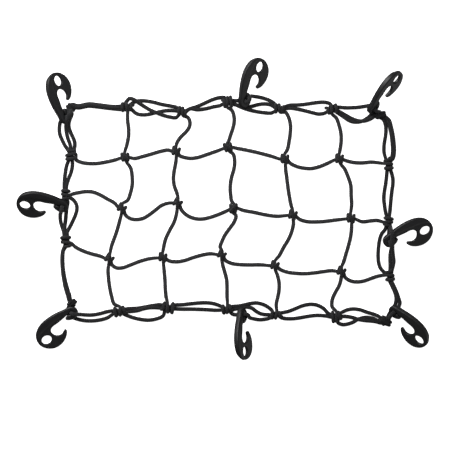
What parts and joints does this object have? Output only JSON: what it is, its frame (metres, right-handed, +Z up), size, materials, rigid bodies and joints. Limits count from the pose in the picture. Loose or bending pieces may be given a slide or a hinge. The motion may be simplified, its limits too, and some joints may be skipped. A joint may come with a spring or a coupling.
{
  "type": "cargo net",
  "caption": "Elastic cord net with a knotted open mesh, a border of several strands, and moulded hooks with finger eyes tied in along its edges.",
  "frame": {"origin": "under the middle of the bounding box, on the surface that the net lies on", "axes": "+X along the net's long side to the right, +Y to its rear edge, +Z up from the surface"},
  "size_m": [0.5185, 0.3752, 0.0331],
  "materials": {
    "elastic_cord": "braided textile sheath over a rubber core, matt charcoal",
    "hook_plastic": "satin black injection moulding"
  },
  "bodies": {
    "root": {"mesh": "elastic_cord", "edge_rope": "elastic_cord", "hook_rear_left": "hook_plastic", "hook_rear_mid": "hook_plastic", "hook_rear_right": "hook_plastic", "hook_left": "hook_plastic", "hook_right": "hook_plastic", "hook_front_left": "hook_plastic", "hook_front_mid": "hook_plastic", "hook_front_right": "hook_plastic"}
  },
  "joints": []
}
